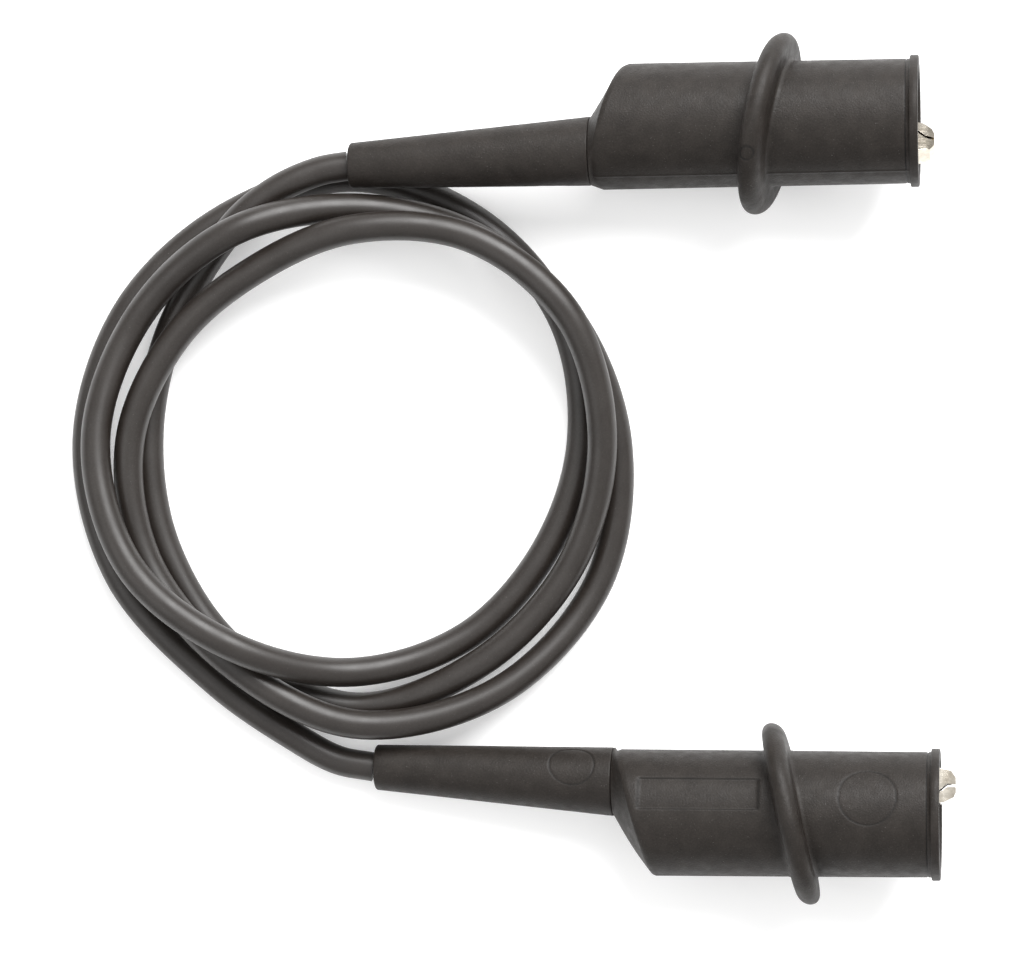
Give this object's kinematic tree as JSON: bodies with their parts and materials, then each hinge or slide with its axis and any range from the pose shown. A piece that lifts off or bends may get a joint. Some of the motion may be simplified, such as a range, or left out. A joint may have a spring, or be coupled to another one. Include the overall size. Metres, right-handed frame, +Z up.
{
  "type": "alligator clip test lead",
  "caption": "Black double-ended test lead: insulated alligator clips with finger-guard boots and sprung toothed jaws, joined by one flexible cord lying in a loose coil.",
  "frame": {"origin": "under the middle of the two clips, on the surface the lead lies on", "axes": "+X along the clips toward the jaws' mouths, +Y from clip b toward clip a, +Z up from the surface; the coil of cord lies toward -X"},
  "size_m": [0.1223, 0.119, 0.0247],
  "materials": {
    "boot_rubber": "fine matt moulded black rubber with a soft sheen",
    "cord_silicone": "smooth satin black silicone",
    "nickel_plate": "bright nickel plate on stamped steel",
    "spring_steel": "drawn spring wire",
    "copper": "bare twisted copper strands"
  },
  "bodies": {
    "lead": {"boot_a": "boot_rubber", "strain_relief_a": "boot_rubber", "cable_end_a": "cord_silicone", "conductor_a": "copper", "fixed_jaw_a": "nickel_plate", "pivot_rivet_a": "nickel_plate", "torsion_spring_a": "spring_steel", "boot_b": "boot_rubber", "strain_relief_b": "boot_rubber", "cable_end_b": "cord_silicone", "conductor_b": "copper", "fixed_jaw_b": "nickel_plate", "pivot_rivet_b": "nickel_plate", "torsion_spring_b": "spring_steel", "lead_cord": "cord_silicone"},
    "jaw_a": {"moving_jaw_a": "nickel_plate"},
    "jaw_b": {"moving_jaw_b": "nickel_plate"}
  },
  "joints": [
    {"name": "jaw_pivot_a", "type": "hinge", "parent": "lead", "child": "jaw_a", "pos_m": [0.01388, 0.04647, 0.01228], "axis": [-0.1196, 0.544, 0.8305], "range_deg": [0, 18], "stiffness_Nm_per_rad": 0.03, "springref_deg": -34.38, "deforming": ["torsion_spring_a"]},
    {"name": "jaw_pivot_b", "type": "hinge", "parent": "lead", "child": "jaw_b", "pos_m": [0.01685, -0.04644, 0.01185], "axis": [0.1422, -0.1729, -0.9746], "range_deg": [0, 18], "stiffness_Nm_per_rad": 0.03, "springref_deg": -34.38, "deforming": ["torsion_spring_b"]}
  ]
}
